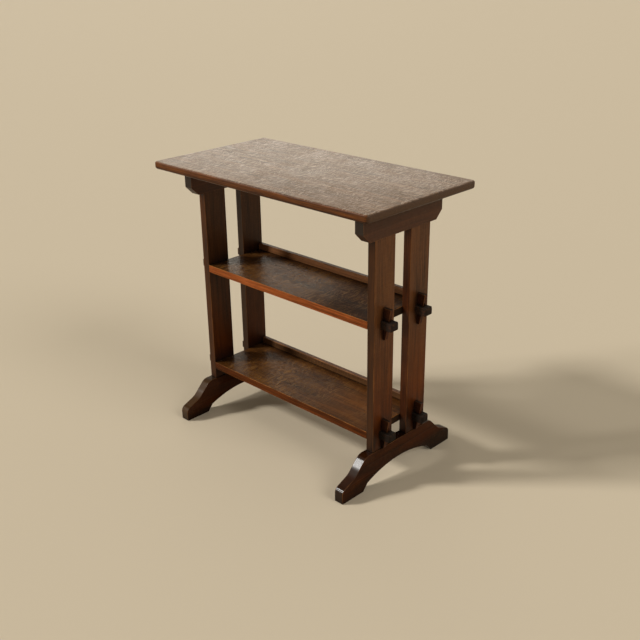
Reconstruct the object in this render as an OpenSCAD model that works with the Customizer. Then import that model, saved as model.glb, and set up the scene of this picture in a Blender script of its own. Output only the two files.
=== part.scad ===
// Book stand with two shelves, in dark quarter-sawn oak. All sizes are in millimetres.
// The two ends are frames of a foot, two stiles and a rail. The shelves run between them,
// and their tenons pass through the stiles and are held by upright tapered keys.
// X runs along the stand, -Y is the front, Z is up, and the origin is on the floor at the middle.

/* [Bays] */
// Length of the shelves between the two ends
shelf_len = 516; // [380:1:700]
// Clear height of the lower bay, from shelf to shelf
lower_bay_h = 246; // [180:1:360]
// Clear height of the upper bay, from the shelf to the top board
upper_bay_h = 244; // [180:1:360]

/* [Top board] */
// Thickness of the top board
top_t = 18; // [15:0.5:28]
// Overhang of the top board past the stiles at each end
top_over_end = 52.5; // [30:0.5:90]
// Overhang of the top board past the rails at the front and back
top_over_rail = 48; // [20:0.5:80]
// Radius of the top board's upper arrises
top_edge_r = 4.5; // [1:0.5:7]
// Radius of the top board's lower arrises
top_under_r = 6; // [1:0.5:7]
// Radius of the top board's corners, seen from above
top_corner_r = 8.5; // [8:0.5:20]

/* [Stiles] */
// Thickness of a stile, along the stand
stile_t = 19.5; // [16:0.5:26]
// Width of a stile, across the stand
stile_w = 63; // [48:1:80]
// Width of the open slot between the two stiles of an end
slot_w = 51; // [30:1:90]

/* [Rails] */
// Thickness of a rail, along the stand
rail_t = 23; // [19:0.5:32]
// Height of a rail
rail_h = 63; // [50:1:80]
// How far a rail runs past the stiles, each way
rail_reach = 37.5; // [34:0.5:60]
// Height and length of the clip at a rail's lower corners
rail_clip = 19; // [10:0.5:21]
// Radius that eases the two angles of that clip
rail_clip_r = 3; // [1:0.5:12]

/* [Feet] */
// Thickness of a foot, along the stand
foot_t = 23; // [19:0.5:32]
// Height of a foot where the stiles stand on it
foot_h = 85; // [75:1:110]
// How far a foot runs past the stiles, each way
foot_reach = 101; // [90:1:130]
// Length of the flat pad under each toe
pad_len = 68; // [45:1:75]
// Height of the toe, where its sloping top would meet its end
toe_h = 31.5; // [26:0.5:44]
// Distance from the toe's end to the hollow of the throat
throat_in = 41.5; // [34:0.5:60]
// Height of the hollow of the throat
throat_h = 48.5; // [42:0.5:60]
// How far the shoulder stands out past the stile
shoulder_out = 24; // [20:0.5:32]
// Radius of the toe's upper corner
toe_r = 15; // [6:0.5:18]
// Radius of the hollow of the throat
throat_r = 40; // [15:1:60]
// Radius of the shoulder
shoulder_r = 24; // [8:0.5:30]
// Small chamfer round the toe where it meets the floor
toe_chamfer = 1.5; // [0.5:0.5:4]
// Height of the arch under a foot, at its crown
arch_h = 38.5; // [30:0.5:48]
// Height at which the arch springs
spring_h = 17; // [10:0.5:24]
// Length of the slope from the pad up to the spring of the arch
spring_run = 15; // [8:0.5:24]
// Radius that leads from that slope into the arch
spring_r = 30; // [10:1:50]

/* [Shelves] */
// Thickness of the shelves and of their tenons
shelf_t = 18; // [15:0.5:24]
// Width of a tenon, across the stand
tenon_w = 23; // [18:0.5:32]
// How far a tenon stands out past the stile
tenon_out = 31; // [26:0.5:40]
// Chamfer round the end of a tenon
tenon_chamfer = 3.5; // [1:0.5:5]

/* [Back strips] */
// Thickness of the strip along the back of each shelf
strip_t = 12; // [8:0.5:18]
// Height of that strip above the shelf
strip_h = 16; // [8:0.5:30]
// Radius of the strip's two upper arrises
strip_r = 2; // [0.5:0.5:3.5]

/* [Keys] */
// Thickness of a key, across the stand
key_t = 9; // [6:0.5:12]
// Width of a key at its top
key_top_w = 21; // [17:0.5:24]
// Width of a key at its tip
key_tip_w = 7; // [4:0.5:10]
// How far a key stands up above the shelf
key_above = 28; // [20:1:45]
// How far a key reaches down below the shelf
key_below = 26; // [15:1:40]
// Chamfer at the outer corners of a key
key_chamfer = 1.5; // [0.5:0.5:2.5]
// Space between the tips of the lower keys and the feet
key_foot_space = 1; // [1:0.5:30]
// How far a key's mortise runs in behind the stile's face, so that the key draws the joint tight
key_draw = 2; // [1:0.5:4]

/* [End joints of the stiles] */
// Thickness of the stub tenon at each end of a stile
stub_t = 11; // [8:0.5:13]
// Width of that stub tenon
stub_w = 44; // [32:1:46]
// Length of the stub tenon in the rail
stub_rail = 32; // [20:1:40]
// Length of the stub tenon in the foot
stub_foot = 32; // [20:1:40]
// Glue space past the end of a stub tenon
stub_space = 1; // [0.5:0.5:3]

/* [Screws of the top] */
// Shank diameter of a wood screw
screw_d = 4.2; // [3.5:0.1:5]
// Length of a wood screw
screw_len = 50; // [40:1:55]
// Depth of a screw in the top board
screw_bite = 12; // [8:0.5:13]
// Diameter of a screw's countersunk head
head_d = 8.2; // [7:0.1:9]
// Height of a screw's countersunk head
head_h = 2.6; // [2:0.1:3.2]
// Diameter of the counterbore in the rail's underside
counterbore_d = 10; // [9.5:0.5:11]
// Distance from the stile's outer edge to the middle of a screw
screw_out = 9; // [6:0.5:9.5]
// Width of the slot in a screw's head
driver_slot_w = 1.2; // [0.8:0.1:1.6]
// Depth of the slot in a screw's head
driver_slot_deep = 1.1; // [0.6:0.1:1.4]

/* [Fits] */
// Clearance on each side of a glued tenon
fit_gap = 0.1; // [0.05:0.05:0.3]
// Clearance between a key and the walls of its mortise
key_gap = 0.2; // [0.1:0.05:0.4]
// Clearance between a screw's shank and the wood
screw_gap = 0.1; // [0.05:0.05:0.3]

/* [Hidden] */
$fn = 48;

LEFT = -1;
RIGHT = 1;
FRONT = -1;
BACK = 1;
UPPER = 1;
LOWER = 0;
OVERCUT = 1;
ARC_STEP = 6;
EDGE_STEP = 15;
ARCH_FACETS = 360;

// Places along the stand
stile_in_x = shelf_len / 2;
stile_out_x = stile_in_x + stile_t;
end_mid_x = stile_in_x + stile_t / 2;
top_len = 2 * (stile_out_x + top_over_end);

// Places across the stand
stile_in_y = slot_w / 2;
stile_out_y = stile_in_y + stile_w;
stile_mid_y = stile_in_y + stile_w / 2;
rail_len = 2 * (stile_out_y + rail_reach);
foot_len = 2 * (stile_out_y + foot_reach);
top_depth = rail_len + 2 * top_over_rail;
screw_y = stile_out_y + screw_out;

// Heights above the floor
lower_top_z = foot_h + key_foot_space + key_below + shelf_t;
upper_top_z = lower_top_z + lower_bay_h + shelf_t;
top_under_z = upper_top_z + upper_bay_h;
rail_under_z = top_under_z - rail_h;
screw_head_z = top_under_z + screw_bite - screw_len;

// Colours of the stained oak and of the screws
TOP_WOOD = [0.42, 0.33, 0.26];
SHELF_WOOD = [0.36, 0.21, 0.11];
END_WOOD = [0.26, 0.16, 0.10];
FOOT_WOOD = [0.20, 0.12, 0.07];
KEY_WOOD = [0.22, 0.15, 0.10];
STEEL = [0.45, 0.43, 0.40];

function shelf_top_z(level) = level == UPPER ? upper_top_z : lower_top_z;

function unit(v) = v / norm(v);

// Points of the arc that rounds corner b between its neighbours a and c
function fillet(a, b, c, r, step = ARC_STEP) =
    let (u = unit(a - b), v = unit(c - b))
    let (half = acos(u * v) / 2)
    let (turn = 180 - 2 * half, steps = max(2, ceil(turn / step)))
    let (mid = b + unit(u + v) * r / sin(half))
    let (start = b + u * r / tan(half) - mid, side = sign(u[0] * v[1] - u[1] * v[0]))
    [for (i = [0:steps])
        let (t = -side * turn * i / steps)
        mid + [start[0] * cos(t) - start[1] * sin(t), start[0] * sin(t) + start[1] * cos(t)]];

// The rounded edge of the top board, from its lower face up to its upper face, reach from the middle
function top_edge(reach, under, over) =
    concat(
        fillet([0, under], [reach, under], [reach, over], top_under_r, EDGE_STEP),
        fillet([reach, under], [reach, over], [0, over], top_edge_r, EDGE_STEP)
    );

function mirrored(points) = [for (i = [len(points) - 1:-1:0]) [-points[i][0], points[i][1]]];

// Stands an outline drawn across the stand (Y, Z) upright, t thick and centred on x
module across(x, t) {
    translate([x - t / 2, 0, 0])
        rotate([90, 0, 90])
            linear_extrude(t)
                children();
}

// Stands an outline drawn along the stand (X, Z) upright, t thick and centred on y
module along(y, t) {
    translate([0, y + t / 2, 0])
        rotate([90, 0, 0])
            linear_extrude(t)
                children();
}

// A box given by its lowest and highest corners
module block(low, high) {
    translate(low)
        cube(high - low);
}

// One corner of the top, with the rounding of the edges carried round it
module top_corner() {
    rotate_extrude(angle = 90)
        polygon(concat([[0, 0]], top_edge(top_corner_r, 0, top_t), [[0, top_t]]));
}

module top_board_body() {
    half = [top_len / 2, top_depth / 2];
    hub = half - [top_corner_r, top_corner_r];
    top_z = top_under_z + top_t;
    front_edge = top_edge(half[1], top_under_z, top_z);
    end_edge = top_edge(half[0], top_under_z, top_z);
    across(0, 2 * hub[0])
        polygon(concat(front_edge, mirrored(front_edge)));
    along(0, 2 * hub[1])
        polygon(concat(end_edge, mirrored(end_edge)));
    for (corner = [[RIGHT, BACK, 0], [LEFT, BACK, 90], [LEFT, FRONT, 180], [RIGHT, FRONT, 270]])
        translate([corner[0] * hub[0], corner[1] * hub[1], top_under_z])
            rotate(corner[2])
                top_corner();
}

module top_board() {
    color(TOP_WOOD)
        difference() {
            top_board_body();
            for (side = [LEFT, RIGHT], end = [FRONT, BACK])
                translate([side * end_mid_x, end * screw_y, top_under_z - OVERCUT])
                    cylinder(d = screw_d + 2 * screw_gap, h = screw_bite + fit_gap + OVERCUT);
        }
}

module rail_outline() {
    half = rail_len / 2;
    clip_low = [-half + rail_clip, rail_under_z];
    clip_high = [-half, rail_under_z + rail_clip];
    corner = [-half, top_under_z];
    left = concat(
        fillet([0, rail_under_z], clip_low, clip_high, rail_clip_r),
        fillet(clip_low, clip_high, corner, rail_clip_r),
        [corner]
    );
    polygon(concat(left, mirrored(left)));
}

// The passage of one screw through a rail, from the counterbore up
module screw_passage() {
    translate([0, 0, rail_under_z - OVERCUT])
        cylinder(d = counterbore_d, h = screw_head_z - rail_under_z + OVERCUT);
    translate([0, 0, screw_head_z])
        cylinder(d1 = head_d + 2 * screw_gap, d2 = screw_d + 2 * screw_gap, h = head_h);
    translate([0, 0, screw_head_z])
        cylinder(d = screw_d + 2 * screw_gap, h = screw_len);
}

// The stub tenon of a stile, or with gap its mortise, from low_z to high_z
module stub(side, end, low_z, high_z, gap) {
    mid = [side * end_mid_x, end * stile_mid_y];
    half = [stub_t / 2 + gap, stub_w / 2 + gap];
    block([mid[0] - half[0], mid[1] - half[1], low_z], [mid[0] + half[0], mid[1] + half[1], high_z]);
}

module rail(side) {
    color(END_WOOD)
        difference() {
            across(side * end_mid_x, rail_t)
                rail_outline();
            for (end = [FRONT, BACK]) {
                stub(side, end, rail_under_z - OVERCUT, rail_under_z + stub_rail + stub_space, fit_gap);
                translate([side * end_mid_x, end * screw_y, 0])
                    screw_passage();
            }
        }
}

module foot_outline() {
    toe_y = -foot_len / 2;
    toe = [toe_y, toe_h];
    throat = [toe_y + throat_in, throat_h];
    shoulder = [-stile_out_y - shoulder_out, foot_h];
    front = concat(
        [[toe_y + toe_chamfer, 0], [toe_y, toe_chamfer]],
        fillet([toe_y, 0], toe, throat, toe_r),
        fillet(toe, throat, shoulder, throat_r),
        fillet(throat, shoulder, [0, foot_h], shoulder_r)
    );
    polygon(concat(front, mirrored(front)));
}

// The wood left in the corner between the slope from a pad and the arch, whose middle is [0, mid_z]
module spring_corner(pad_y, spring_y, r, mid_z) {
    low = [-pad_y, 0];
    spring = [-spring_y, spring_h];
    along_slope = unit(spring - low);
    inward = [along_slope[1], -along_slope[0]];
    from_mid = spring + inward * spring_r - [0, mid_z];
    reach = r - spring_r;
    lean = from_mid * along_slope;
    back = -lean - sqrt(lean * lean - from_mid * from_mid + reach * reach);
    hub = [0, mid_z] + from_mid + along_slope * back;
    on_slope = hub - inward * spring_r;
    on_arch = [0, mid_z] + (hub - [0, mid_z]) * r / reach;
    difference() {
        polygon([on_slope, spring - inward * OVERCUT, on_arch]);
        translate(hub)
            circle(spring_r, $fn = ARCH_FACETS);
    }
}

// The space under a foot: two slopes up from the pads, led into a shallow arch between them
module foot_arch(x, t) {
    pad_y = foot_len / 2 - pad_len;
    spring_y = pad_y - spring_run;
    rise = arch_h - spring_h;
    r = (spring_y * spring_y + rise * rise) / (2 * rise);
    across(x, t)
        difference() {
            union() {
                polygon([
                    [-pad_y, -OVERCUT], [pad_y, -OVERCUT], [pad_y, 0],
                    [spring_y, spring_h], [-spring_y, spring_h], [-pad_y, 0]
                ]);
                intersection() {
                    translate([0, arch_h - r])
                        circle(r, $fn = ARCH_FACETS);
                    translate([-spring_y, spring_h])
                        square([2 * spring_y, arch_h]);
                }
            }
            for (flip = [0, 1])
                mirror([flip, 0])
                    spring_corner(pad_y, spring_y, r, arch_h - r);
        }
}

module foot(side) {
    color(FOOT_WOOD)
        difference() {
            across(side * end_mid_x, foot_t)
                foot_outline();
            foot_arch(side * end_mid_x, foot_t + 2 * OVERCUT);
            for (end = [FRONT, BACK])
                stub(side, end, foot_h - stub_foot - stub_space, foot_h + OVERCUT, fit_gap);
        }
}

// The place of a shelf's tenon in a stile, with gap round it
module tenon_hole(side, end, level) {
    mid = [side * end_mid_x, end * stile_mid_y, shelf_top_z(level) - shelf_t / 2];
    half = [stile_t / 2 + OVERCUT, tenon_w / 2 + fit_gap, shelf_t / 2 + fit_gap];
    block(mid - half, mid + half);
}

module stile(side, end) {
    mid = [side * end_mid_x, end * stile_mid_y];
    half = [stile_t / 2, stile_w / 2];
    color(END_WOOD)
        difference() {
            union() {
                block([mid[0] - half[0], mid[1] - half[1], foot_h],
                    [mid[0] + half[0], mid[1] + half[1], rail_under_z]);
                stub(side, end, foot_h - stub_foot, rail_under_z + stub_rail, 0);
            }
            tenon_hole(side, end, LOWER);
            tenon_hole(side, end, UPPER);
        }
}

// Outline of a key along the stand, seen from the front, with gap added to its tapered face
module key_outline(level, gap) {
    tip_z = shelf_top_z(level) - shelf_t - key_below;
    high_z = shelf_top_z(level) + key_above;
    slope = (key_top_w - key_tip_w) / (high_z - tip_z);
    tip_x = stile_out_x + key_tip_w + gap;
    high_x = stile_out_x + key_top_w + gap;
    polygon([
        [stile_out_x, tip_z],
        [tip_x - key_chamfer, tip_z],
        [tip_x + slope * key_chamfer, tip_z + key_chamfer],
        [high_x - slope * key_chamfer, high_z - key_chamfer],
        [high_x - key_chamfer, high_z],
        [stile_out_x, high_z]
    ]);
}

// The mortise of a key through a tenon on the right-hand end
module key_hole(end, level) {
    mid_y = end * stile_mid_y;
    hole_w = key_t + 2 * key_gap;
    high_z = shelf_top_z(level);
    along(mid_y, hole_w)
        key_outline(level, key_gap);
    block([stile_out_x - key_draw, mid_y - hole_w / 2, high_z - shelf_t - OVERCUT],
        [stile_out_x + OVERCUT, mid_y + hole_w / 2, high_z + OVERCUT]);
}

// A through tenon on the right-hand end, its outer end chamfered all round
module tenon(end, level) {
    mid_y = end * stile_mid_y;
    half_w = tenon_w / 2;
    tip_x = stile_out_x + tenon_out;
    high_z = shelf_top_z(level);
    low_z = high_z - shelf_t;
    root_x = stile_in_x - OVERCUT;
    cut = tenon_chamfer;
    intersection() {
        along(mid_y, tenon_w)
            polygon([
                [root_x, low_z], [tip_x - cut, low_z], [tip_x, low_z + cut],
                [tip_x, high_z - cut], [tip_x - cut, high_z], [root_x, high_z]
            ]);
        translate([0, mid_y, low_z])
            linear_extrude(shelf_t)
                polygon([
                    [root_x, -half_w], [tip_x - cut, -half_w], [tip_x, -half_w + cut],
                    [tip_x, half_w - cut], [tip_x - cut, half_w], [root_x, half_w]
                ]);
    }
}

module shelf(level) {
    high_z = shelf_top_z(level);
    color(SHELF_WOOD) {
        difference() {
            union() {
                block([-stile_in_x, -stile_out_y, high_z - shelf_t], [stile_in_x, stile_out_y, high_z]);
                for (flip = [0, 1], end = [FRONT, BACK])
                    mirror([flip, 0, 0])
                        tenon(end, level);
            }
            for (flip = [0, 1], end = [FRONT, BACK])
                mirror([flip, 0, 0])
                    key_hole(end, level);
        }
    }
}

module back_strip(level) {
    low_z = shelf_top_z(level);
    high_z = low_z + strip_h;
    front_y = stile_out_y - strip_t;
    low_front = [front_y, low_z];
    low_back = [stile_out_y, low_z];
    high_back = [stile_out_y, high_z];
    high_front = [front_y, high_z];
    color(SHELF_WOOD)
        across(0, shelf_len)
            polygon(concat(
                [low_front, low_back],
                fillet(low_back, high_back, high_front, strip_r),
                fillet(high_back, high_front, low_front, strip_r)
            ));
}

module key(side, end, level) {
    color(KEY_WOOD)
        mirror([side == LEFT ? 1 : 0, 0, 0])
            along(end * stile_mid_y, key_t)
                key_outline(level, 0);
}

// One countersunk wood screw, driven upward, with its slotted head at the bottom
module wood_screw() {
    point_h = screw_d;
    difference() {
        union() {
            cylinder(d1 = head_d, d2 = screw_d, h = head_h);
            cylinder(d = screw_d, h = screw_len - point_h);
            translate([0, 0, screw_len - point_h])
                cylinder(d1 = screw_d, d2 = screw_d / 4, h = point_h);
        }
        block([-head_d, -driver_slot_w / 2, -OVERCUT], [head_d, driver_slot_w / 2, driver_slot_deep]);
    }
}

module top_screws() {
    color(STEEL)
        for (side = [LEFT, RIGHT], end = [FRONT, BACK])
            translate([side * end_mid_x, end * screw_y, screw_head_z])
                wood_screw();
}

module left_rail() { rail(LEFT); }
module right_rail() { rail(RIGHT); }
module left_front_stile() { stile(LEFT, FRONT); }
module left_back_stile() { stile(LEFT, BACK); }
module right_front_stile() { stile(RIGHT, FRONT); }
module right_back_stile() { stile(RIGHT, BACK); }
module left_foot() { foot(LEFT); }
module right_foot() { foot(RIGHT); }
module upper_shelf() { shelf(UPPER); }
module lower_shelf() { shelf(LOWER); }
module upper_back_strip() { back_strip(UPPER); }
module lower_back_strip() { back_strip(LOWER); }
module key_upper_left_front() { key(LEFT, FRONT, UPPER); }
module key_upper_left_back() { key(LEFT, BACK, UPPER); }
module key_upper_right_front() { key(RIGHT, FRONT, UPPER); }
module key_upper_right_back() { key(RIGHT, BACK, UPPER); }
module key_lower_left_front() { key(LEFT, FRONT, LOWER); }
module key_lower_left_back() { key(LEFT, BACK, LOWER); }
module key_lower_right_front() { key(RIGHT, FRONT, LOWER); }
module key_lower_right_back() { key(RIGHT, BACK, LOWER); }

top_board();
left_rail();
right_rail();
left_front_stile();
left_back_stile();
right_front_stile();
right_back_stile();
left_foot();
right_foot();
upper_shelf();
lower_shelf();
upper_back_strip();
lower_back_strip();
key_upper_left_front();
key_upper_left_back();
key_upper_right_front();
key_upper_right_back();
key_lower_left_front();
key_lower_left_back();
key_lower_right_front();
key_lower_right_back();
top_screws();
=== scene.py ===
"""Book stand in dark quarter-sawn oak: the finish of each piece, and the floor, light and camera."""

import math

import bpy
from mathutils import Matrix, Vector


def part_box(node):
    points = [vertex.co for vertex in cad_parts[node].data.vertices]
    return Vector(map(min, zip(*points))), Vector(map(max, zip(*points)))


bl_info = {
    "name": "Keyed Oak Book Stand",
    "version": (1, 0, 0),
    "blender": (4, 5, 0),
    "location": "3D Viewport > Sidebar > Book Stand",
    "description": "Finishes a book stand in dark quarter-sawn oak and sets it in soft studio light",
    "category": "Object",
}

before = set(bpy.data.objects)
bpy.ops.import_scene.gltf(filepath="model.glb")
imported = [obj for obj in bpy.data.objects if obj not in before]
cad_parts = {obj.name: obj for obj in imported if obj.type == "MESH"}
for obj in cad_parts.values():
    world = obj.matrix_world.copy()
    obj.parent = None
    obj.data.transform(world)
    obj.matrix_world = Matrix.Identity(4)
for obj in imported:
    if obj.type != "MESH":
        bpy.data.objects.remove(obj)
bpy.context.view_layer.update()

MM = 0.001
X, Y, Z = 0, 1, 2

TOP = ["top_board"]
RAILS = ["left_rail", "right_rail"]
STILES = ["left_front_stile", "left_back_stile", "right_front_stile", "right_back_stile"]
FEET = ["left_foot", "right_foot"]
SHELVES = ["upper_shelf", "lower_shelf"]
STRIPS = ["upper_back_strip", "lower_back_strip"]
KEYS = [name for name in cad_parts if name.startswith("key_")]
SCREWS = ["top_screws"]

# Mesh points this close are joined
JOIN_WITHIN = 0.002 * MM
# Faces that bend less than this make up one flat side
FLAT_WITHIN = math.radians(0.5)
# Edges that bend more than this are sharp, and are eased in this many steps
SHARP_FROM = math.radians(30)
ARRIS_STEPS = 3

# A share that rises softly at both ends of its range, with no hard border
SOFT = {"interpolation_type": "SMOOTHSTEP"}
# The colours that go into a Mix node and come out of it, which have the same names as its numbers
MIX_UNDER, MIX_OVER, MIX_RESULT = 6, 7, 2
# The top is glued up from boards of this width
BOARD_WIDTH = 116 * MM
# How far on in the log each next board of the top is cut, in metres along, across and through it
NEXT_BOARD = (1.73, 0.0, 2.31)
# Oil varnish and wax bend light about this much
VARNISH_IOR = 1.5

# Where each lamp's light comes from, how many degrees wide the lamp looks, and its colour
LAMPS = {
    "key_light": ((-0.565, -0.56, 0.605), 8, (1.0, 0.98, 0.94)),
    "low_light": ((-0.565, -0.755, 0.33), 7, (1.0, 0.98, 0.94)),
    "fill_light": ((0.80, 0.04, 0.60), 25, (1.0, 0.98, 0.95)),
    "sheen_light": ((-0.796, 0.599, 0.087), 36, (1.0, 0.93, 0.81)),
}
# Places and distances of the stage in metres, and the sensor's width in millimetres
LAMP_DISTANCE = 3.0
FLOOR_REACH = 20.0
FARTHEST_SEEN = 100.0
CAMERA_PLACE = (1.38846, -1.38228, 1.14106)
CAMERA_TARGET = (0.10328, -0.07128, 0.34756)
CAMERA_ROLL = math.radians(-0.815)
SENSOR_WIDTH = 36.0


def linear(hex_text):
    """An sRGB hex colour as linear red, green, blue and alpha."""
    parts = [int(hex_text[i:i + 2], 16) / 255 for i in (1, 3, 5)]
    return tuple(c / 12.92 if c <= 0.04045 else ((c + 0.055) / 1.055) ** 2.4 for c in parts) + (1.0,)


def colour_property(label, words, hex_text):
    """A colour that a user can change, given as sRGB hex."""
    return bpy.props.FloatVectorProperty(
        name=label, description=words, subtype="COLOR", size=4, min=0.0, max=1.0, default=linear(hex_text)
    )


def length_property(label, words, millimetres):
    """A size that a user can change, given in millimetres."""
    return bpy.props.FloatProperty(
        name=label, description=words, subtype="DISTANCE", unit="LENGTH", min=0.0, default=millimetres * MM
    )


def strength_property(label, words, strength):
    """The strength of a light, which a user can change."""
    return bpy.props.FloatProperty(name=label, description=words, min=0.0, default=strength)


class StandStain(bpy.types.PropertyGroup):
    """The colours of the stain, the dirt, the painted light and shade, and the screws."""

    # The top's greyed pale brown is partly sun-bleaching and partly painted sheen
    top: colour_property("Top", "Stain of the top board", "#5f442b")
    top_mottle: colour_property("Top mottling", "Second tone of the top board", "#65492f")
    top_edge: colour_property("Top edge", "Stain of the top's long edges", "#572e07")
    top_end: colour_property("Top end grain", "End grain of the top board", "#452e1e")
    shelf: colour_property("Shelves", "Stain of the shelves", "#44260d")
    shelf_mottle: colour_property("Shelf mottling", "Second tone of the shelves", "#4c2e14")
    shelf_edge: colour_property("Shelf edge", "Stain of the upper shelf's long edges", "#84451f")
    # Painted tones at the shelves' right ends for the light there: painted shade on the upper shelf, painted
    # light on the lower
    shelf_end_shade: colour_property("Upper dull end", "Stain of the upper shelf's right end", "#341c0a")
    lower_shelf_end_light: colour_property("Lower dull end", "Stain of the lower shelf's right end", "#55300f")
    lower_shelf_edge: colour_property("Lower shelf edge", "Stain of the lower shelf's long edges", "#54290d")
    # Lit and shaded copies of one stain: the upper strip painted lighter as painted light against the top's
    # shade, the lower strip darker where light falls on it
    strip: colour_property("Upper back strip", "Stain of the strip along the upper shelf", "#70492d")
    lower_strip: colour_property("Lower back strip", "Stain of the strip along the lower shelf", "#4b311c")
    strip_edge: colour_property("Back strips, top", "Stain of the upper edges of the strips", "#543520")
    ends: colour_property("Ends", "Stain of the stiles", "#623b1f")
    ends_mottle: colour_property("End mottling", "Second tone of the stiles", "#502f16")
    ends_low: colour_property("Ends, low", "Stain of the stiles near the floor", "#552603")
    # Each stile's edges have their own colour: partly stain from board to board, partly painted light, the
    # right back stile's lighter against the shade the front stile casts on them
    edge_left_front: colour_property("Left front edge", "Stain of the left front stile's edges", "#412006")
    edge_left_back: colour_property("Left back edge", "Stain of the left back stile's edges", "#2f1a0a")
    edge_right_front: colour_property("Right front edge", "Stain of the right front stile's edges", "#371c06")
    edge_right_back: colour_property("Right back edge", "Stain of the right back stile's edges", "#4c250c")
    rail: colour_property("Rails", "Stain of the rails", "#4c2914")
    rail_mottle: colour_property("Rail mottling", "Second tone of the rails", "#432717")
    rail_end: colour_property("Rail ends", "End grain of the rails", "#2f2822")
    feet: colour_property("Feet", "Stain of the feet", "#271104")
    feet_mottle: colour_property("Feet mottling", "Second tone of the feet", "#381703")
    # The left foot's slopes and toes are painted lighter than the right foot's: painted light for how light
    # falls on that foot
    left_slope_painted_light: colour_property("Left foot, slope", "Stain of the left foot's sloping faces", "#3a2309")
    left_toe_painted_light: colour_property("Left foot, toe", "End grain of the left foot's toes", "#4c3a2a")
    keys: colour_property("Keys", "Stain of the keys", "#4a2512")
    # This dark colour fills the pores, and is also the painted shade, with dirt, near the floor and in
    # corners
    pore_grime_and_shade: colour_property("Pores", "Dark filler in the open pores, and old grime", "#120a06")
    fleck: colour_property("Ray flecks", "Ray flecks of the ends and shelves", "#8a602f")
    # The top's silver flecks are partly paler rays and partly painted sheen
    silver_fleck: colour_property("Silver flecks", "Ray flecks of the sun-bleached top", "#b09a88")
    worn: colour_property("Worn arris", "Wood where hands have rubbed the stain thin", "#b47438")
    end_grain: colour_property("End grain", "End grain, which drinks the stain", "#2c2119")
    # Near-black tenons past the stiles: painted shade together with dirt and wax, darker on the lower shelf
    tenon: colour_property("Upper tenons", "Tenons of the upper shelf, past the stiles", "#29211c")
    lower_tenon: colour_property("Lower tenons", "Tenons of the lower shelf, past the stiles", "#1f1a16")
    steel: colour_property("Screws", "Turned steel of the screws", "#8c8880")
    rust: colour_property("Rust", "Brown spots on the screws", "#4f3a2a")


class StandShape(bpy.types.PropertyGroup):
    """Sizes of the eased edges and the wear, and the reach of the dirt and painted shade."""

    board_arris: length_property("Board arris", "Width of the eased edges of boards", 0.9)
    foot_arris: length_property("Foot arris", "Width of the eased edges of the feet", 1.6)
    key_arris: length_property("Key arris", "Width of the eased edges of the keys", 0.7)
    screw_arris: length_property("Screw arris", "Width of the eased edges of the screws", 0.15)
    rubbed_width: length_property("Rubbed width", "How far in from an arris the stain is rubbed thin", 1.6)
    # How far the painted shade, with some dirt, reaches out of a corner
    corner_shade_reach: length_property("Corner grime", "How far out of a corner its grime reaches", 45)
    end_wander: length_property("End wander", "How far the border of a changed end wanders", 60)
    # Where the shelves dull and take their painted end tone
    dull_and_shade_from: length_property("Dull end, start", "Where the shelves start to dull, right of the middle", 40)
    dull_and_shade_to: length_property("Dull end, full", "Where the shelves are fully dull, right of the middle", 190)
    low_tone_from: length_property("Low tone, start", "Height at which the stiles start to change tone", 460)
    low_tone_to: length_property("Low tone, full", "Height below which the stiles have their low tone", 160)
    # Near the floor the stiles and keys are darkened: painted shade together with floor dirt
    thick_shade_and_grime: length_property("Thick grime", "Height above the feet up to which grime is thick", 25)
    stile_shade_and_grime: length_property("Stile grime", "Height that floor grime reaches on the stiles", 190)
    key_shade_and_grime: length_property("Key grime", "Height that floor grime reaches on the keys", 215)
    dust_from: length_property("Dust, low", "Height from which the throats of the feet are dusty", 40)
    dust_to: length_property("Dust, high", "Height up to which the throats of the feet are dusty", 66)


class StageLook(bpy.types.PropertyGroup):
    """The floor, the lamps and the camera."""

    floor: colour_property("Floor", "Colour of the plain floor", "#d2c4ac")
    backdrop: colour_property("Backdrop", "Colour seen past the floor and in the gloss", "#efe7d6")
    key_light: strength_property("Key light", "Strength of the soft light from the front left", 1.8)
    low_light: strength_property("Low light", "Strength of the low light from the front left", 0.9)
    fill_light: strength_property("Fill light", "Strength of the soft light from the right", 0.9)
    sheen_light: strength_property("Sheen light", "Strength of the wide light from behind left", 0.45)
    ambient: strength_property("Ambient", "Strength of the light from all round", 0.30)
    lens: bpy.props.FloatProperty(
        name="Lens", description="Focal length, in mm", unit="CAMERA", min=10.0, default=50.606
    )


def put(tree, kind, inputs=(), **settings):
    """Adds a node, sets it, and fills its inputs, which are given in order or by name.

    An input is a value, an output of another node, or another node, whose first output it takes.
    """
    node = tree.nodes.new(kind)
    for name, value in settings.items():
        setattr(node, name, value)
    filled = inputs if isinstance(inputs, dict) else dict(enumerate(inputs))
    for socket, value in filled.items():
        if isinstance(value, bpy.types.Node):
            value = value.outputs[0]
        if isinstance(value, bpy.types.NodeSocket):
            tree.links.new(value, node.inputs[socket])
        else:
            node.inputs[socket].default_value = value
    return node


def bare_material(name):
    """A material with an empty node tree."""
    material = bpy.data.materials.new(name)
    material.use_nodes = True
    material.node_tree.nodes.clear()
    return material, material.node_tree


def coats(tree, colour, layers):
    """Lays each layer's tint over the colour in turn, as thickly as the layer's share says."""
    for share, tint in layers:
        inputs = {"Factor": share, MIX_UNDER: colour, MIX_OVER: tint}
        colour = put(tree, "ShaderNodeMix", inputs, data_type="RGBA").outputs[MIX_RESULT]
    return colour


def figure(tree, board, sizes, detail=2.0, rough=0.5):
    """Figure in the wood whose parts have these sizes in mm, along, across and through the board."""
    counts = put(tree, "ShaderNodeMapping", {"Vector": board, "Scale": [1 / (size * MM) for size in sizes]})
    inputs = {"Vector": counts, "Scale": 1.0, "Detail": detail, "Roughness": rough}
    return put(tree, "ShaderNodeTexNoise", inputs)


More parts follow.
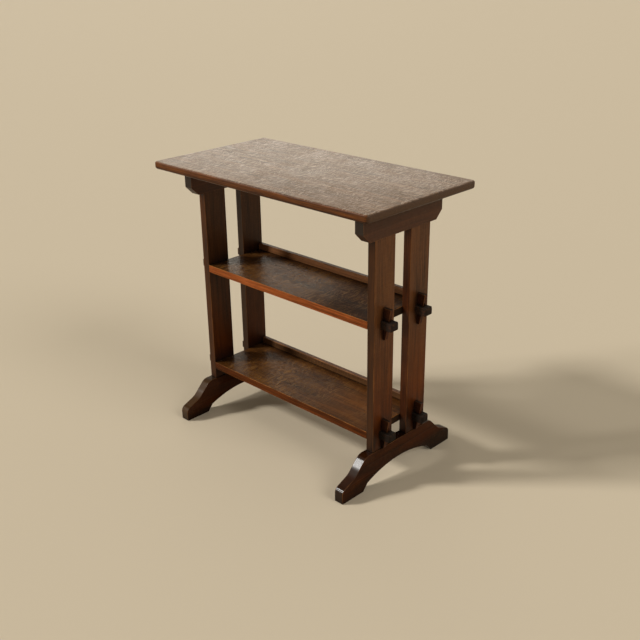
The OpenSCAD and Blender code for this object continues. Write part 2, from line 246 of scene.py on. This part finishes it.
def patchy(tree, board, sizes, span, detail=2.0, rough=0.5):
    """Soft patches of these sizes in mm. span is the figure's low and high, and the share at each."""
    return put(tree, "ShaderNodeMapRange", (figure(tree, board, sizes, detail, rough), *span), **SOFT)


def wandering(tree, board, sizes, reach):
    """Places in the board shifted to and fro within a span of reach, in mm, as the grain wanders."""
    turns = figure(tree, board, sizes, detail=1.0).outputs["Color"]
    shift = put(tree, "ShaderNodeVectorMath", (turns, (0.5, 0.5, 0.5)), operation="SUBTRACT")
    shift = put(tree, "ShaderNodeVectorMath", (shift, [r * MM for r in reach]), operation="MULTIPLY")
    return put(tree, "ShaderNodeVectorMath", (board, shift), operation="ADD")


def ray_strokes(tree, board, along_mm, across_mm, kept):
    """Lens-shaped strokes, each with its own length and strength. kept is the share that shows."""
    scale = [1 / (size * MM) for size in (along_mm, across_mm, across_mm)]
    counts = put(tree, "ShaderNodeMapping", {"Vector": board, "Scale": scale})
    cells = put(tree, "ShaderNodeTexVoronoi", {"Vector": counts, "Scale": 1.0}).outputs
    chance = put(tree, "ShaderNodeSeparateXYZ", (cells["Color"],)).outputs
    reach = put(tree, "ShaderNodeMath", (chance[0], 0.35, 0.25), operation="MULTIPLY_ADD")
    inside = put(tree, "ShaderNodeMath", (cells["Distance"], reach), operation="DIVIDE")
    inside = put(tree, "ShaderNodeMapRange", (inside, 0.55, 1.25, 1.0, 0.0), **SOFT)
    strong = put(tree, "ShaderNodeMapRange", (chance[1], 1.0 - kept, 1.15 - kept), **SOFT)
    return put(tree, "ShaderNodeMath", (inside, strong), operation="MULTIPLY")


def ray_flecks(tree, board, size):
    """Ray flecks: curling strokes 1 to 4 mm wide and 6 to 30 mm long that lie across the grain."""
    curled = wandering(tree, board, (60, 50, 50), (30, 18, 18))
    curled = wandering(tree, curled, (14, 14, 14), (6, 5, 5))
    long_strokes = ray_strokes(tree, curled, 2.2 * size, 20 * size, kept=0.62)
    short_strokes = ray_strokes(tree, curled, 1.6 * size, 6 * size, kept=0.70)
    short_strokes = put(tree, "ShaderNodeMath", (short_strokes, 0.8), operation="MULTIPLY")
    return put(tree, "ShaderNodeMath", (long_strokes, short_strokes), operation="MAXIMUM")


def rubbed_arrises(tree, board, normal, face_on, width, share):
    """Arrises, found by their bend and by their slant, are rubbed through in short stretches."""
    eased = put(tree, "ShaderNodeBevel", {"Radius": width}, samples=6)
    turn = put(tree, "ShaderNodeVectorMath", (eased, normal), operation="DOT_PRODUCT").outputs["Value"]
    rubbed = put(tree, "ShaderNodeMapRange", (turn, 0.80, 0.985, 1.0, 0.0), **SOFT)
    off_edge = put(tree, "ShaderNodeMapRange", (face_on, 0.15, 0.35), **SOFT)
    off_face = put(tree, "ShaderNodeMapRange", (face_on, 0.85, 0.97, share, 0.0), **SOFT)
    on_arris = put(tree, "ShaderNodeMath", (off_edge, off_face), operation="MULTIPLY")
    rubbed = put(tree, "ShaderNodeMath", (rubbed, on_arris), operation="MAXIMUM")
    stretches = patchy(tree, board, (40, 40, 40), (0.38, 0.62, 0.2, 1.0), detail=3.0)
    return put(tree, "ShaderNodeMath", (rubbed, stretches), operation="MULTIPLY")


def low_shade_and_grime(tree, board, height, wide, low, high):
    """Darkens the wood near the floor, its wide faces most: painted shade together with floor dirt and old
    wax.
    """
    near_floor = put(tree, "ShaderNodeMapRange", (height, low, high, 0.9, 0.0), **SOFT)
    on_faces = put(tree, "ShaderNodeMath", (wide, 0.75, 0.25), operation="MULTIPLY_ADD")
    darkened = put(tree, "ShaderNodeMath", (near_floor, on_faces), operation="MULTIPLY")
    uneven = patchy(tree, board, (40, 25, 25), (0.3, 0.7, 0.6, 1.0))
    return put(tree, "ShaderNodeMath", (darkened, uneven), operation="MULTIPLY")


def corner_shade_and_grime(tree, board, reach, share):
    """Painted shade, with some dirt and old wax, darkens the corners where other parts close in."""
    open_air = put(tree, "ShaderNodeAmbientOcclusion", {"Distance": reach}, samples=8).outputs["AO"]
    closed_in = put(tree, "ShaderNodeMapRange", (open_air, 0.35, 0.98, 1.0, 0.0), **SOFT)
    uneven = patchy(tree, board, (30, 30, 30), (0.2, 0.8, 0.6, 1.0))
    shade_and_grime = put(tree, "ShaderNodeMath", (closed_in, uneven), operation="MULTIPLY")
    return put(tree, "ShaderNodeMath", (shade_and_grime, share), operation="MULTIPLY")


def tenon_shade_and_grime(tree, board, sideways, stile_face):
    """Tenon ends that stand out past the stiles are darkened nearly to black: painted shade, with years of
    dirt and wax.
    """
    out = put(tree, "ShaderNodeMath", (sideways,), operation="ABSOLUTE")
    past = put(tree, "ShaderNodeMapRange", (out, stile_face - 1 * MM, stile_face + 1 * MM), **SOFT)
    uneven = patchy(tree, board, (9, 5, 5), (0.40, 0.68, 1.0, 0.85), detail=3.0, rough=0.7)
    return put(tree, "ShaderNodeMath", (past, uneven), operation="MULTIPLY")


def throat_dust(tree, height, low, high):
    """Dust in the hollow of a foot's throat dulls it, thickening over 6 mm and thinning over 10 mm."""
    above = put(tree, "ShaderNodeMapRange", (height, low - 6 * MM, low), **SOFT)
    below = put(tree, "ShaderNodeMapRange", (height, high - 10 * MM, high, 1.0, 0.0), **SOFT)
    return put(tree, "ShaderNodeMath", (above, below), operation="MULTIPLY")


def stained_oak(
    name, stain, grain, across, fleck_share, polish, roughness=0.42, wear=0.5,
    mottle=None, edge=None, ends=None, fleck=None, streak_share=0.5, band_share=0.6, tone_share=0.3,
    inward_light_share=1.0, arris_share=1.0, corner_shade_share=1.0, relief_share=1.0, fleck_size=1.0, least_flecks=0.4,
    edge_rough=0.0, board_width=None, far_end=None, low_shade_and_grime_height=None, dust_height=None, tenon=None,
):
    """Quarter-sawn white oak, planed, stained dark and rubbed with satin varnish.

    The eye gets fine streaks and dark pores along the grain, pale curling ray flecks across the wide
    faces, slow changes of tone, narrow edges that take the stain another way, thin rubbed arrises
    and near-black end grain.

    grain and across are the axes along and across the board. Each share says how strongly its part
    of the figure, the wear, the dirt or the painted light and shade shows; the share for faces turned
    inwards darkens them as painted shade below 1 and lightens them as painted light above 1. far_end
    is the colour at one end, the axis, where on it the change starts and is full, and the roughness
    that it adds; on the stiles that colour is a stain, on the shelves a painted tone for the light at
    that end. The heights of the darkening near the floor, which is painted shade with floor dirt, and
    of the dust are each a low and a high. tenon is how far out the stiles' faces are, and the colour
    past them, which is painted shade with dirt.
    """
    stains = bpy.context.scene.book_stand_stain
    shape = bpy.context.scene.book_stand_shape
    material, tree = bare_material(name)
    thick = 3 - grain - across
    place = put(tree, "ShaderNodeTexCoord").outputs["Object"]
    axes = put(tree, "ShaderNodeSeparateXYZ", (place,)).outputs
    board = put(tree, "ShaderNodeCombineXYZ", (axes[grain], axes[across], axes[thick]))
    if board_width is not None:
        # The figure starts anew at each joint between two boards
        number = put(tree, "ShaderNodeMath", (axes[across], 1 / board_width, 0.5), operation="MULTIPLY_ADD")
        number = put(tree, "ShaderNodeMath", (number,), operation="FLOOR")
        shift = put(tree, "ShaderNodeVectorMath", {0: NEXT_BOARD, "Scale": number}, operation="SCALE")
        board = put(tree, "ShaderNodeVectorMath", (board, shift), operation="ADD")

    # End grain, narrow edges and wide faces, told apart by which way each faces
    normal = put(tree, "ShaderNodeNewGeometry").outputs["Normal"]
    facing = put(tree, "ShaderNodeSeparateXYZ", (normal,)).outputs
    end_on, edge_on, face_on = [
        put(tree, "ShaderNodeMath", (facing[axis],), operation="ABSOLUTE") for axis in (grain, across, thick)
    ]
    end_grain = put(tree, "ShaderNodeMapRange", (end_on, 0.45, 0.85), **SOFT)
    narrow = put(tree, "ShaderNodeMapRange", (edge_on, 0.30, 0.50), **SOFT)
    wide = put(tree, "ShaderNodeMapRange", (face_on, 0.55, 0.85), **SOFT)

    # The grain wanders by a few millimetres along the board
    wood = wandering(tree, board, (240, 70, 70), (0, 12, 12))
    # Sapwood and heartwood take the stain in bands about 15 mm wide
    bands = figure(tree, wood, (500, 15, 24))
    # Growth rings are 2 to 4 mm apart and run the length of the board
    rings = figure(tree, wood, (420, 3.6, 4.2), detail=3.0, rough=0.6)
    # Bundles of pores draw fine streaks along the grain, 1 to 2 mm apart
    streaks = figure(tree, wood, (70, 2.2, 2.2), detail=3.0, rough=0.7)
    # Open pores are 0.3 mm wide on real oak, and are drawn 0.8 mm wide so that they show
    pores = patchy(tree, wood, (13, 0.8, 0.8), (0.56, 0.70), rough=0.6)
    # Stain takes unevenly over a hand's breadth
    tone = figure(tree, wood, (240, 60, 60), detail=3.0, rough=0.55)

    # Ray flecks gather in patches on the wide faces, and least_flecks of them are left in between
    patches = patchy(tree, board, (110, 70, 70), (0.36, 0.62, least_flecks, 1.0))
    if board_width is not None:
        # The back board is cut nearest to the rays, so it shows the most of them
        nearer = put(tree, "ShaderNodeMath", (number, 0.10, 0.90), operation="MULTIPLY_ADD")
        patches = put(tree, "ShaderNodeMath", (patches, nearer), operation="MULTIPLY")
    flecks = ray_flecks(tree, board, fleck_size)
    for share in (patches, wide):
        flecks = put(tree, "ShaderNodeMath", (flecks, share), operation="MULTIPLY")

    far_tone, far_dulling = [], []
    if far_end is not None:
        # Towards one end the piece turns rougher by the roughness given, shows fewer flecks and takes another
        # colour: on the stiles a lower tone of stain, on the shelves a painted tone that stands in for the
        # light at that end
        far_colour, axis, start, finish, far_rough = far_end
        at_end = put(tree, "ShaderNodeMath", (tone, shape.end_wander, axes[axis]), operation="MULTIPLY_ADD")
        at_end = put(tree, "ShaderNodeMapRange", (at_end, start, finish), **SOFT)
        fewer = put(tree, "ShaderNodeMath", (at_end, -0.65, 1.0), operation="MULTIPLY_ADD")
        flecks = put(tree, "ShaderNodeMath", (flecks, fewer), operation="MULTIPLY")
        far_tone = [(at_end, far_colour)]
        far_dulling = [(at_end, far_rough)]

    mottling = put(tree, "ShaderNodeMapRange", (tone, 0.40, 0.62), **SOFT)
    colour = coats(tree, stain, [(mottling, mottle or stain), *far_tone, (narrow, edge or stain)])

    # Bands, rings, streaks and tone each make the stain lighter and darker than its mean
    depth = 1.0
    for part, low, high, share in (
        (bands, 0.32, 0.68, band_share * streak_share),
        (rings, 0.32, 0.68, 0.6 * streak_share),
        (streaks, 0.30, 0.70, 0.9 * streak_share),
        (tone, 0.30, 0.70, tone_share),
    ):
        swing = put(tree, "ShaderNodeMapRange", (part, low, high, -0.5, 0.5), **SOFT)
        depth = put(tree, "ShaderNodeMath", (swing, share, depth), operation="MULTIPLY_ADD")
    colour = put(tree, "ShaderNodeVectorMath", {0: colour, "Scale": depth}, operation="SCALE")
    pored = put(tree, "ShaderNodeMath", (pores, 0.5), operation="MULTIPLY")
    flecked = put(tree, "ShaderNodeMath", (flecks, fleck_share), operation="MULTIPLY")
    colour = coats(tree, colour, [(pored, stains.pore_grime_and_shade), (flecked, fleck or stains.fleck)])

    # Faces turned to the inside of the stand are painted darker or lighter than the outer ones: painted shade
    # where the share is below 1, painted light where it is above 1
    inward = put(tree, "ShaderNodeMath", (facing[thick], axes[thick]), operation="MULTIPLY")
    inward_light = put(tree, "ShaderNodeMapRange", (inward, -0.1, -0.02, inward_light_share, 1.0), **SOFT)
    colour = put(tree, "ShaderNodeVectorMath", {0: colour, "Scale": inward_light}, operation="SCALE")

    # End grain drinks the stain, and then come the wear, and the painted shade with dirt near the floor, in
    # the corners and on the tenons
    thirst = patchy(tree, board, (3, 2.4, 2.4), (0.3, 0.7, 0.7, 1.0))
    soaked = put(tree, "ShaderNodeMath", (end_grain, thirst), operation="MULTIPLY")
    rubbed = rubbed_arrises(tree, board, normal, face_on, shape.rubbed_width, arris_share)
    rubbed = put(tree, "ShaderNodeMath", (rubbed, wear), operation="MULTIPLY")
    layers = [(soaked, ends or stains.end_grain), (rubbed, stains.worn)]
    # Darker near the floor: painted shade together with floor dirt
    if low_shade_and_grime_height is not None:
        layers.append((low_shade_and_grime(tree, board, axes[Z], wide, *low_shade_and_grime_height), stains.pore_grime_and_shade))
    # Corners where other parts close in are darkened: painted shade, with some dirt and old wax
    layers.append((corner_shade_and_grime(tree, board, shape.corner_shade_reach, corner_shade_share), stains.pore_grime_and_shade))
    # Past the stiles' faces the tenons are darkened: painted shade, with dirt and wax
    if tenon is not None:
        stile_face, tenon_colour = tenon
        layers.append((tenon_shade_and_grime(tree, board, axes[X], stile_face), tenon_colour))
    colour = coats(tree, colour, layers)

    # Smudges and open pores dull the varnish, less so where the grain is filled and the relief is low
    open_grain = min(relief_share, 1.0)
    span = (0.3, 0.7, -0.03 * open_grain, 0.036 * open_grain)
    smudges = patchy(tree, board, (60, 50, 50), span, detail=3.0, rough=0.6)
    square_edge = put(tree, "ShaderNodeMapRange", (edge_on, 0.75, 0.95), **SOFT)
    dulling = [(pores, 0.15 * open_grain), (flecks, -0.08), (square_edge, edge_rough), *far_dulling]
    if dust_height is not None:
        dulling.append((throat_dust(tree, axes[Z], *dust_height), 0.4))
    rough = put(tree, "ShaderNodeMath", (smudges, roughness), operation="ADD")
    for share, rougher in dulling:
        rough = put(tree, "ShaderNodeMath", (share, rougher, rough), operation="MULTIPLY_ADD")

    # Pores are sunk, and streaks and flecks stand up, by a quarter of a millimetre times relief_share
    relief = put(tree, "ShaderNodeMath", (pores, -0.7), operation="MULTIPLY")
    relief = put(tree, "ShaderNodeMath", (streaks, 0.5, relief), operation="MULTIPLY_ADD")
    relief = put(tree, "ShaderNodeMath", (flecks, 0.35, relief), operation="MULTIPLY_ADD")
    bump = put(
        tree, "ShaderNodeBump", {"Height": relief, "Strength": 0.35, "Distance": 0.25 * relief_share * MM}
    )
    finish = {
        "Base Color": colour, "Roughness": rough, "Normal": bump,
        "IOR": VARNISH_IOR, "Specular IOR Level": polish,
    }
    shader = put(tree, "ShaderNodeBsdfPrincipled", finish)
    put(tree, "ShaderNodeOutputMaterial", (shader,))
    return material


def turned_steel(steel, rust):
    """Turned mild steel, dulled by age: the eye gets grey metal with duller brown spots 1.5 mm wide."""
    material, tree = bare_material("turned_steel")
    place = put(tree, "ShaderNodeTexCoord").outputs["Object"]
    spots = put(tree, "ShaderNodeTexNoise", {"Vector": place, "Scale": 1 / (1.5 * MM), "Detail": 3.0})
    rusted = put(tree, "ShaderNodeMapRange", (spots, 0.5, 0.7))
    rough = put(tree, "ShaderNodeMapRange", {"Value": spots, "To Min": 0.35, "To Max": 0.6})
    finish = {"Base Color": coats(tree, steel, [(rusted, rust)]), "Roughness": rough, "Metallic": 1.0}
    shader = put(tree, "ShaderNodeBsdfPrincipled", finish)
    put(tree, "ShaderNodeOutputMaterial", (shader,))
    return material


def plain_floor(colour):
    """Matt painted board: a plain pale ground that keeps the stand's shadow and shows no gloss."""
    material, tree = bare_material("matt_floor")
    finish = {"Base Color": colour, "Roughness": 0.9, "Specular IOR Level": 0.2}
    shader = put(tree, "ShaderNodeBsdfPrincipled", finish)
    put(tree, "ShaderNodeOutputMaterial", (shader,))
    return material


def joined_mesh():
    """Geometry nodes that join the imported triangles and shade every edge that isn't sharp smooth."""
    name = "join_and_smooth"
    if name in bpy.data.node_groups:
        return bpy.data.node_groups[name]
    group = bpy.data.node_groups.new(name, "GeometryNodeTree")
    group.interface.new_socket("Geometry", in_out="INPUT", socket_type="NodeSocketGeometry")
    group.interface.new_socket("Geometry", in_out="OUTPUT", socket_type="NodeSocketGeometry")
    start = put(group, "NodeGroupInput")
    joined = put(group, "GeometryNodeMergeByDistance", {"Geometry": start, "Distance": JOIN_WITHIN})
    bare = put(group, "GeometryNodeRemoveAttribute", {"Geometry": joined, "Name": "custom_normal"})
    smooth = put(group, "GeometryNodeSetShadeSmooth", {0: bare, "Shade Smooth": True}, domain="FACE")
    bend = put(group, "GeometryNodeInputMeshEdgeAngle").outputs["Unsigned Angle"]
    soft = put(group, "FunctionNodeCompare", {0: bend, 1: SHARP_FROM}, operation="LESS_THAN")
    shaded = put(group, "GeometryNodeSetShadeSmooth", {0: smooth, "Shade Smooth": soft}, domain="EDGE")
    put(group, "NodeGroupOutput", (shaded,))
    return group


def finish_piece(name, material, arris):
    """Joins a piece's mesh, eases its sharp edges by arris and gives it its material."""
    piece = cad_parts[name]
    piece.modifiers.new("join", "NODES").node_group = joined_mesh()
    flat = piece.modifiers.new("one_face_per_side", "DECIMATE")
    flat.decimate_type = "DISSOLVE"
    flat.angle_limit = FLAT_WITHIN
    eased = piece.modifiers.new("eased_edges", "BEVEL")
    eased.width = arris
    eased.segments = ARRIS_STEPS
    eased.limit_method = "ANGLE"
    eased.angle_limit = SHARP_FROM
    eased.harden_normals = True
    eased.use_clamp_overlap = True
    for slot in piece.material_slots:
        slot.material = material


class BOOKSTAND_OT_top_board(bpy.types.Operator):
    """Finish the top board"""

    bl_idname = "bookstand.top_board"
    bl_label = "Top Board"

    def execute(self, context):
        stains = context.scene.book_stand_stain
        shape = context.scene.book_stand_shape
        # Planed oak greyed pale and thick with silver flecks under a thin satin sheen, partly bleached by the
        # sun and partly painted sheen;
        # the underside is painted darker as painted shade, and the reddish long edges have hardly any gloss
        oak = stained_oak(
            "planed_oak_top", stains.top, X, Y, fleck_share=0.68, polish=0.23, roughness=0.40, wear=0.25,
            mottle=stains.top_mottle, edge=stains.top_edge, ends=stains.top_end, fleck=stains.silver_fleck,
            streak_share=1.0, band_share=0.25, tone_share=0.05, inward_light_share=0.55, arris_share=0.0,
            least_flecks=0.75, edge_rough=0.4, board_width=BOARD_WIDTH,
        )
        for name in TOP:
            finish_piece(name, oak, shape.board_arris)
        return {"FINISHED"}


class BOOKSTAND_OT_rails(bpy.types.Operator):
    """Finish the rails under the top"""

    bl_idname = "bookstand.rails"
    bl_label = "Rails"

    def execute(self, context):
        stains = context.scene.book_stand_stain
        # Planed oak in the shade of the top: an even dark brown with few flecks and faint streaks
        oak = stained_oak(
            "planed_oak_rail", stains.rail, Y, Z, fleck_share=0.08, polish=0.2, mottle=stains.rail_mottle,
            ends=stains.rail_end, streak_share=0.3,
        )
        for name in RAILS:
            finish_piece(name, oak, context.scene.book_stand_shape.board_arris)
        return {"FINISHED"}


class BOOKSTAND_OT_stiles(bpy.types.Operator):
    """Finish the four stiles"""

    bl_idname = "bookstand.stiles"
    bl_label = "Stiles"

    def execute(self, context):
        stains = context.scene.book_stand_stain
        shape = context.scene.book_stand_shape
        foot_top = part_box("left_foot")[1].z
        edges = (
            stains.edge_left_front, stains.edge_left_back, stains.edge_right_front, stains.edge_right_back,
        )
        for name, edge in zip(STILES, edges):
            # Planed oak that is handled and kicked: warm brown in slow clouds under a satin sheen, redder
            # lower down and then near black towards the floor, painted shade with dirt; the inward faces get
            # painted shade, and each stile's edges a colour that is partly painted light
            oak = stained_oak(
                "planed_oak_" + name, stains.ends, Z, Y, fleck_share=0.12, polish=0.17, roughness=0.38,
                mottle=stains.ends_mottle, edge=edge, streak_share=0.55, tone_share=0.8, inward_light_share=0.68,
                far_end=(stains.ends_low, Z, shape.low_tone_from, shape.low_tone_to, 0.0),
                low_shade_and_grime_height=(foot_top + shape.thick_shade_and_grime, shape.stile_shade_and_grime),
            )
            finish_piece(name, oak, shape.board_arris)
        return {"FINISHED"}


class BOOKSTAND_OT_feet(bpy.types.Operator):
    """Finish the arched feet"""

    bl_idname = "bookstand.feet"
    bl_label = "Feet"

    def execute(self, context):
        stains = context.scene.book_stand_stain
        shape = context.scene.book_stand_shape
        # The left foot gets lighter slopes and toes as painted light; the right foot keeps the plain stain
        # and end grain
        tones = ((stains.left_slope_painted_light, stains.left_toe_painted_light), (stains.feet, stains.end_grain))
        for name, (slope, toe) in zip(FEET, tones):
            # Oak sawn to shape, filled and polished by shoes and wax: near black, almost without
            # figure, with narrow bright highlights on the slopes and toes, and dust in the throats
            oak = stained_oak(
                "sawn_oak_" + name, stains.feet, Y, Z, fleck_share=0.06, polish=0.10, roughness=0.16,
                wear=0.35, mottle=stains.feet_mottle, edge=slope, ends=toe, streak_share=0.25,
                relief_share=0.05, dust_height=(shape.dust_from, shape.dust_to),
            )
            finish_piece(name, oak, shape.foot_arris)
        return {"FINISHED"}


class BOOKSTAND_OT_shelves(bpy.types.Operator):
    """Finish the shelves and their through tenons"""

    bl_idname = "bookstand.shelves"
    bl_label = "Shelves"

    def execute(self, context):
        stains = context.scene.book_stand_stain
        shape = context.scene.book_stand_shape
        stile_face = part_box("right_front_stile")[1].x
        upper = (stains.shelf_edge, stains.shelf_end_shade, 0.30, stains.tenon)
        lower = (stains.lower_shelf_edge, stains.lower_shelf_end_light, 0.20, stains.lower_tenon)
        for name, (edge, dull, dulling, tenon) in zip(SHELVES, (upper, lower)):
            # Planed oak on which books have slid: broad golden flecks that stand up in the gloss, arrises
            # rubbed bright, a right end that has lost its polish and is painted darker on the upper shelf and
            # lighter on the lower for the light there, and tenons darkened with painted shade and dirt
            oak = stained_oak(
                "planed_oak_" + name, stains.shelf, X, Y, fleck_share=0.7, polish=0.045, roughness=0.28,
                wear=0.9, mottle=stains.shelf_mottle, edge=edge, streak_share=0.8, tone_share=0.5,
                relief_share=4.0, fleck_size=1.5, tenon=(stile_face, tenon),
                far_end=(dull, X, shape.dull_and_shade_from, shape.dull_and_shade_to, dulling),
            )
            finish_piece(name, oak, shape.board_arris)
        return {"FINISHED"}


class BOOKSTAND_OT_back_strips(bpy.types.Operator):
    """Finish the strips along the back of the shelves"""

    bl_idname = "bookstand.back_strips"
    bl_label = "Back Strips"

    def execute(self, context):
        stains = context.scene.book_stand_stain
        for name, stain in zip(STRIPS, (stains.strip, stains.lower_strip)):
            # Planed oak that books have leaned on, with little gloss: the inward faces painted lighter as
            # painted light, less painted shade in the corners, and each strip in its own painted tone
            oak = stained_oak(
                "planed_oak_" + name, stain, X, Z, fleck_share=0.2, polish=0.1, wear=0.6,
                edge=stains.strip_edge, inward_light_share=1.6, corner_shade_share=0.3,
            )
            finish_piece(name, oak, context.scene.book_stand_shape.board_arris)
        return {"FINISHED"}


class BOOKSTAND_OT_keys(bpy.types.Operator):
    """Finish the loose upright keys"""

    bl_idname = "bookstand.keys"
    bl_label = "Keys"

    def execute(self, context):
        stains = context.scene.book_stand_stain
        shape = context.scene.book_stand_shape
        # Oak whittled to a taper and waxed: dark red-brown and duller than the boards, darkened low down by
        # painted shade with dirt
        oak = stained_oak(
            "whittled_oak_key", stains.keys, Z, X, fleck_share=0.05, polish=0.12, roughness=0.46,
            low_shade_and_grime_height=(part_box("left_foot")[1].z, shape.key_shade_and_grime),
        )
        for name in KEYS:
            finish_piece(name, oak, shape.key_arris)
        return {"FINISHED"}


class BOOKSTAND_OT_screws(bpy.types.Operator):
    """Finish the wood screws of the top"""

    bl_idname = "bookstand.screws"
    bl_label = "Screws"

    def execute(self, context):
        stains = context.scene.book_stand_stain
        steel = turned_steel(stains.steel, stains.rust)
        for name in SCREWS:
            finish_piece(name, steel, context.scene.book_stand_shape.screw_arris)
        return {"FINISHED"}


def aim(thing, place, target, roll=0.0):
    """Puts a lamp or camera at place, looking at target, turned by roll about its line of sight."""
    thing.location = place
    look = (Vector(target) - Vector(place)).to_track_quat("-Z", "Y")
    thing.rotation_euler = (look.to_matrix() @ Matrix.Rotation(roll, 3, "Z")).to_euler()


def soft_light(name, direction, width, colour, strength):
    """Even light from a large far-off softbox that looks width degrees wide."""
    data = bpy.data.lights.new(name, "SUN")
    data.angle = math.radians(width)
    data.energy = strength
    data.color = colour
    lamp = bpy.data.objects.new(name, data)
    bpy.context.scene.collection.objects.link(lamp)
    aim(lamp, [LAMP_DISTANCE * part for part in direction], (0.0, 0.0, 0.0))


class BOOKSTAND_OT_stage(bpy.types.Operator):
    """Set the floor, the lamps and the camera"""

    bl_idname = "bookstand.stage"
    bl_label = "Stage"

    def execute(self, context):
        scene = context.scene
        look = scene.book_stand_stage
        mesh = bpy.data.meshes.new("floor")
        corners = [(x * FLOOR_REACH, y * FLOOR_REACH, 0) for x, y in ((-1, -1), (1, -1), (1, 1), (-1, 1))]
        mesh.from_pydata(corners, [], [(0, 1, 2, 3)])
        mesh.materials.append(plain_floor(look.floor))
        floor = bpy.data.objects.new("floor", mesh)
        scene.collection.objects.link(floor)

        for name, (direction, width, colour) in LAMPS.items():
            soft_light(name, direction, width, colour, getattr(look, name))

        # The backdrop shows as it is to the camera and in the gloss, and lights the stand more weakly
        world = bpy.data.worlds.new("studio")
        scene.world = world
        world.use_nodes = True
        tree = world.node_tree
        tree.nodes.clear()
        rays = put(tree, "ShaderNodeLightPath").outputs
        seen = rays["Is Camera Ray"]
        for kind in ("Is Glossy Ray", "Is Transmission Ray"):
            seen = put(tree, "ShaderNodeMath", (seen, rays[kind]), operation="MAXIMUM")
        strength = put(tree, "ShaderNodeMapRange", {"Value": seen, "To Min": look.ambient, "To Max": 1.0})
        sky = put(tree, "ShaderNodeBackground", {"Color": look.backdrop, "Strength": strength})
        put(tree, "ShaderNodeOutputWorld", (sky,))

        data = bpy.data.cameras.new("camera")
        data.sensor_width = SENSOR_WIDTH
        data.lens = look.lens
        data.clip_end = FARTHEST_SEEN
        camera = bpy.data.objects.new("camera", data)
        scene.collection.objects.link(camera)
        aim(camera, CAMERA_PLACE, CAMERA_TARGET, CAMERA_ROLL)
        scene.camera = camera
        scene.view_settings.view_transform = "Standard"
        return {"FINISHED"}


class BOOKSTAND_PT_panel(bpy.types.Panel):
    """Lists the stand's operators and their settings"""

    bl_label = "Book Stand"
    bl_idname = "BOOKSTAND_PT_panel"
    bl_space_type = "VIEW_3D"
    bl_region_type = "UI"
    bl_category = "Book Stand"

    def draw(self, context):
        for group_name in GROUPS:
            group = getattr(context.scene, group_name)
            box = self.layout.box()
            for name in group.__annotations__:
                box.prop(group, name)
        for operator in OPERATORS:
            self.layout.operator(operator.bl_idname)


OPERATORS = (
    BOOKSTAND_OT_top_board,
    BOOKSTAND_OT_rails,
    BOOKSTAND_OT_stiles,
    BOOKSTAND_OT_feet,
    BOOKSTAND_OT_shelves,
    BOOKSTAND_OT_back_strips,
    BOOKSTAND_OT_keys,
    BOOKSTAND_OT_screws,
    BOOKSTAND_OT_stage,
)
GROUPS = {"book_stand_stain": StandStain, "book_stand_shape": StandShape, "book_stand_stage": StageLook}


def register():
    for group in GROUPS.values():
        bpy.utils.register_class(group)
    for name, group in GROUPS.items():
        setattr(bpy.types.Scene, name, bpy.props.PointerProperty(type=group))
    for item in OPERATORS + (BOOKSTAND_PT_panel,):
        bpy.utils.register_class(item)


def unregister():
    for item in reversed(OPERATORS + (BOOKSTAND_PT_panel,)):
        bpy.utils.unregister_class(item)
    for name, group in reversed(GROUPS.items()):
        delattr(bpy.types.Scene, name)
        bpy.utils.unregister_class(group)


def main():
    """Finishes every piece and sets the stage."""
    register()
    bpy.ops.bookstand.top_board()
    bpy.ops.bookstand.rails()
    bpy.ops.bookstand.stiles()
    bpy.ops.bookstand.feet()
    bpy.ops.bookstand.shelves()
    bpy.ops.bookstand.back_strips()
    bpy.ops.bookstand.keys()
    bpy.ops.bookstand.screws()
    bpy.ops.bookstand.stage()


if __name__ == "__main__":
    main()
